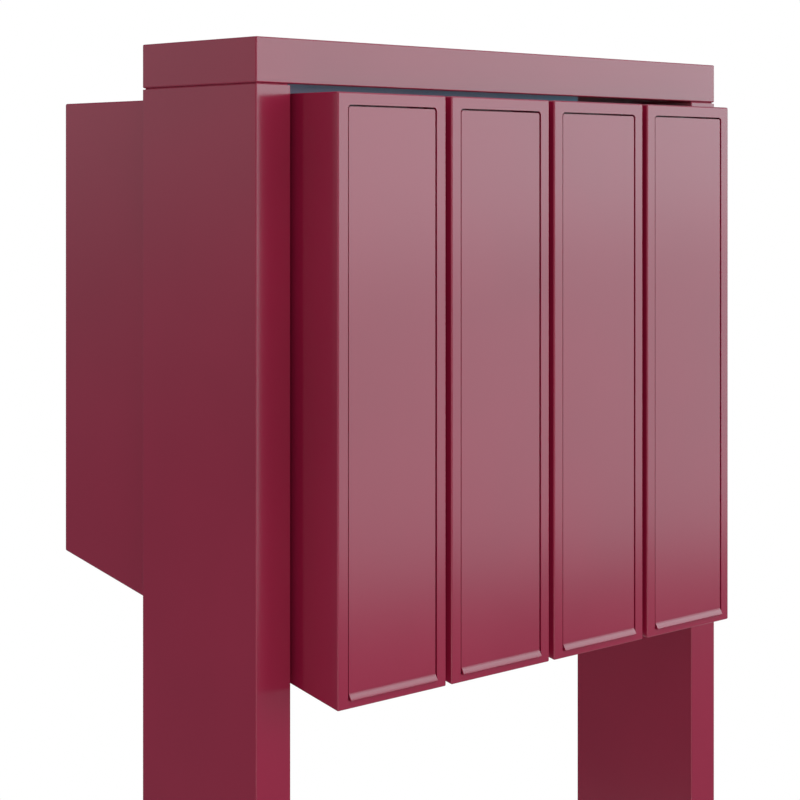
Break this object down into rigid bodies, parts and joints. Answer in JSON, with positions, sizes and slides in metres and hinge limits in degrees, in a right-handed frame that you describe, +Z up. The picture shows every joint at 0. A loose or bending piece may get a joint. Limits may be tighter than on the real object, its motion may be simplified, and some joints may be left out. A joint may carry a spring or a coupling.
{
  "type": "cluster mailbox unit",
  "caption": "Free-standing row of tall narrow letterboxes in a portal frame of two posts and a beam, with top-hinged front flaps and lockable rear doors.",
  "frame": {"origin": "on the ground, midway between the two posts in both directions", "axes": "+X to the right and +Y to the rear, seen by someone facing the flaps, which look along -Y; +Z up"},
  "size_m": [0.555, 0.304, 1.4],
  "materials": {
    "red_powder_coat": "satin ruby-red powder coat with fine orange peel",
    "stainless": "turned stainless steel",
    "zinc": "bright zinc plating",
    "nickel": "satin nickel plating",
    "black_rubber": "matte EPDM rubber",
    "red_rubber": "matte dark red EPDM rubber, matched to the frame"
  },
  "bodies": {
    "frame": {"post_left": "red_powder_coat", "post_right": "red_powder_coat", "top_beam": "red_powder_coat", "beam_end_left": "red_powder_coat", "beam_end_right": "red_powder_coat", "spigot_left": "zinc", "spigot_right": "zinc", "beam_gaskets": "red_rubber", "base_plate_left": "red_powder_coat", "base_plate_right": "red_powder_coat", "beam_lock_screws": "zinc", "gap_spacers": "zinc", "side_bolts": "zinc", "side_nuts": "zinc", "post_rivet_nuts": "zinc", "box_shell_1": "red_powder_coat", "slot_plate_1": "red_powder_coat", "flap_pin_1": "stainless", "flap_bumpers_1": "black_rubber", "door_pivots_1": "stainless", "box_shell_2": "red_powder_coat", "slot_plate_2": "red_powder_coat", "flap_pin_2": "stainless", "flap_bumpers_2": "black_rubber", "door_pivots_2": "stainless", "box_shell_3": "red_powder_coat", "slot_plate_3": "red_powder_coat", "flap_pin_3": "stainless", "flap_bumpers_3": "black_rubber", "door_pivots_3": "stainless", "box_shell_4": "red_powder_coat", "slot_plate_4": "red_powder_coat", "flap_pin_4": "stainless", "flap_bumpers_4": "black_rubber", "door_pivots_4": "stainless"},
    "flap_body_1": {"flap_1": "red_powder_coat"},
    "door_body_1": {"rear_door_1": "red_powder_coat", "lock_barrel_1": "nickel", "lock_nut_1": "zinc"},
    "plug_body_1": {"lock_plug_1": "nickel", "lock_cam_1": "zinc"},
    "flap_body_2": {"flap_2": "red_powder_coat"},
    "door_body_2": {"rear_door_2": "red_powder_coat", "lock_barrel_2": "nickel", "lock_nut_2": "zinc"},
    "plug_body_2": {"lock_plug_2": "nickel", "lock_cam_2": "zinc"},
    "flap_body_3": {"flap_3": "red_powder_coat"},
    "door_body_3": {"rear_door_3": "red_powder_coat", "lock_barrel_3": "nickel", "lock_nut_3": "zinc"},
    "plug_body_3": {"lock_plug_3": "nickel", "lock_cam_3": "zinc"},
    "flap_body_4": {"flap_4": "red_powder_coat"},
    "door_body_4": {"rear_door_4": "red_powder_coat", "lock_barrel_4": "nickel", "lock_nut_4": "zinc"},
    "plug_body_4": {"lock_plug_4": "nickel", "lock_cam_4": "zinc"}
  },
  "joints": [
    {"name": "flap_hinge_1", "type": "hinge", "parent": "frame", "child": "flap_body_1", "pos_m": [-0.1575, -0.0954, 1.3503], "axis": [-1, 0, 0], "range_deg": [0, 90]},
    {"name": "flap_hinge_2", "type": "hinge", "parent": "frame", "child": "flap_body_2", "pos_m": [-0.0525, -0.0954, 1.3503], "axis": [-1, 0, 0], "range_deg": [0, 90]},
    {"name": "flap_hinge_3", "type": "hinge", "parent": "frame", "child": "flap_body_3", "pos_m": [0.0525, -0.0954, 1.3503], "axis": [-1, 0, 0], "range_deg": [0, 90]},
    {"name": "flap_hinge_4", "type": "hinge", "parent": "frame", "child": "flap_body_4", "pos_m": [0.1575, -0.0954, 1.3503], "axis": [-1, 0, 0], "range_deg": [0, 90]},
    {"name": "door_hinge_1", "type": "hinge", "parent": "frame", "child": "door_body_1", "pos_m": [-0.1875, 0.193, 1.1975], "axis": [0, 0, 1], "range_deg": [0, 110]},
    {"name": "door_hinge_2", "type": "hinge", "parent": "frame", "child": "door_body_2", "pos_m": [-0.0825, 0.193, 1.1975], "axis": [0, 0, 1], "range_deg": [0, 110]},
    {"name": "door_hinge_3", "type": "hinge", "parent": "frame", "child": "door_body_3", "pos_m": [0.0225, 0.193, 1.1975], "axis": [0, 0, 1], "range_deg": [0, 110]},
    {"name": "door_hinge_4", "type": "hinge", "parent": "frame", "child": "door_body_4", "pos_m": [0.1275, 0.193, 1.1975], "axis": [0, 0, 1], "range_deg": [0, 110]},
    {"name": "lock_turn_1", "type": "hinge", "parent": "door_body_1", "child": "plug_body_1", "pos_m": [-0.1345, 0.1995, 1.1975], "axis": [0, -1, 0], "range_deg": [0, 90]},
    {"name": "lock_turn_2", "type": "hinge", "parent": "door_body_2", "child": "plug_body_2", "pos_m": [-0.0295, 0.1995, 1.1975], "axis": [0, -1, 0], "range_deg": [0, 90]},
    {"name": "lock_turn_3", "type": "hinge", "parent": "door_body_3", "child": "plug_body_3", "pos_m": [0.0755, 0.1995, 1.1975], "axis": [0, -1, 0], "range_deg": [0, 90]},
    {"name": "lock_turn_4", "type": "hinge", "parent": "door_body_4", "child": "plug_body_4", "pos_m": [0.1805, 0.1995, 1.1975], "axis": [0, -1, 0], "range_deg": [0, 90]}
  ]
}
